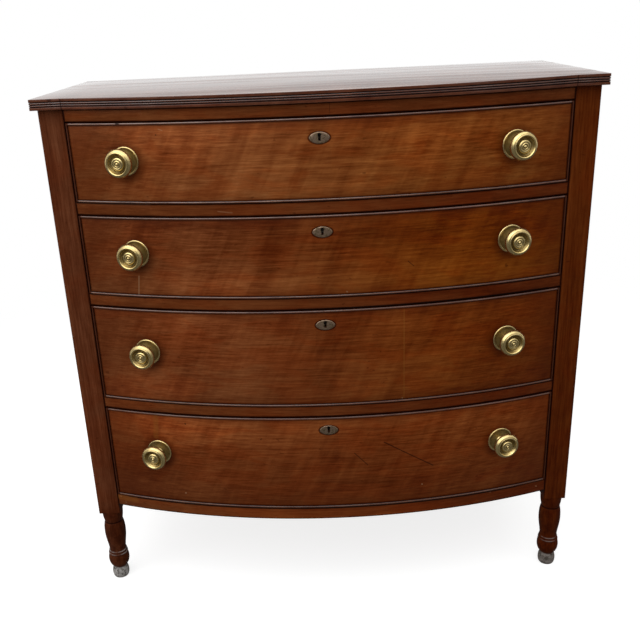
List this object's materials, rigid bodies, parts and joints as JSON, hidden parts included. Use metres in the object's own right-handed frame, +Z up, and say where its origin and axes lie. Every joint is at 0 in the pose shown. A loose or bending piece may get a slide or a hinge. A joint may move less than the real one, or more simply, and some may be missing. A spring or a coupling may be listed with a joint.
{
  "type": "bow front chest of drawers",
  "caption": "Wooden chest with a bowed front, reeded overhanging top, square posts on turned legs, cock-beaded sliding drawers, brass knobs and oval keyhole plates.",
  "frame": {"origin": "on the floor under the middle of the bounding box", "axes": "+Z up, +X to the right of a viewer who faces the drawers, +Y to the back; the bowed front faces -Y"},
  "size_m": [1.053, 0.525, 1.0732],
  "materials": {
    "case_wood": "dark reddish-brown cherry or mahogany, rubbed gloss polish",
    "drawer_wood": "curly reddish-brown cherry or mahogany, gloss polish",
    "bead_wood": "dark polished bead",
    "inner_wood": "pale secondary wood, planed and unpolished",
    "knob_brass": "polished yellow brass, spun and turned",
    "plate_brass": "aged brass with a brown patina"
  },
  "bodies": {
    "case": {"top_board": "case_wood", "post_front_left": "case_wood", "post_front_right": "case_wood", "post_rear_left": "case_wood", "post_rear_right": "case_wood", "side_panel_left": "case_wood", "side_panel_right": "case_wood", "kicker_left": "inner_wood", "kicker_right": "inner_wood", "runner_1_left": "inner_wood", "runner_1_right": "inner_wood", "runner_2_left": "inner_wood", "runner_2_right": "inner_wood", "runner_3_left": "inner_wood", "runner_3_right": "inner_wood", "runner_4_left": "inner_wood", "runner_4_right": "inner_wood", "back_panel": "inner_wood", "rear_top_rail": "inner_wood", "front_top_rail": "case_wood", "front_bottom_rail": "case_wood", "divider_1": "case_wood", "divider_2": "case_wood", "divider_3": "case_wood"},
    "drawer_1": {"drawer_1_front": "drawer_wood", "drawer_1_bead": "bead_wood", "drawer_1_side_left": "inner_wood", "drawer_1_side_right": "inner_wood", "drawer_1_back": "inner_wood", "drawer_1_bottom": "inner_wood", "drawer_1_key_plate": "plate_brass", "drawer_1_knob_left": "knob_brass", "drawer_1_knob_right": "knob_brass"},
    "drawer_2": {"drawer_2_front": "drawer_wood", "drawer_2_bead": "bead_wood", "drawer_2_side_left": "inner_wood", "drawer_2_side_right": "inner_wood", "drawer_2_back": "inner_wood", "drawer_2_bottom": "inner_wood", "drawer_2_key_plate": "plate_brass", "drawer_2_knob_left": "knob_brass", "drawer_2_knob_right": "knob_brass"},
    "drawer_3": {"drawer_3_front": "drawer_wood", "drawer_3_bead": "bead_wood", "drawer_3_side_left": "inner_wood", "drawer_3_side_right": "inner_wood", "drawer_3_back": "inner_wood", "drawer_3_bottom": "inner_wood", "drawer_3_key_plate": "plate_brass", "drawer_3_knob_left": "knob_brass", "drawer_3_knob_right": "knob_brass"},
    "drawer_4": {"drawer_4_front": "drawer_wood", "drawer_4_bead": "bead_wood", "drawer_4_side_left": "inner_wood", "drawer_4_side_right": "inner_wood", "drawer_4_back": "inner_wood", "drawer_4_bottom": "inner_wood", "drawer_4_key_plate": "plate_brass", "drawer_4_knob_left": "knob_brass", "drawer_4_knob_right": "knob_brass"}
  },
  "joints": [
    {"name": "drawer_1_slide", "type": "slide", "parent": "case", "child": "drawer_1", "axis": [0, -1, 0], "range_m": [0, 0.33]},
    {"name": "drawer_2_slide", "type": "slide", "parent": "case", "child": "drawer_2", "axis": [0, -1, 0], "range_m": [0, 0.33]},
    {"name": "drawer_3_slide", "type": "slide", "parent": "case", "child": "drawer_3", "axis": [0, -1, 0], "range_m": [0, 0.33]},
    {"name": "drawer_4_slide", "type": "slide", "parent": "case", "child": "drawer_4", "axis": [0, -1, 0], "range_m": [0, 0.33]}
  ]
}
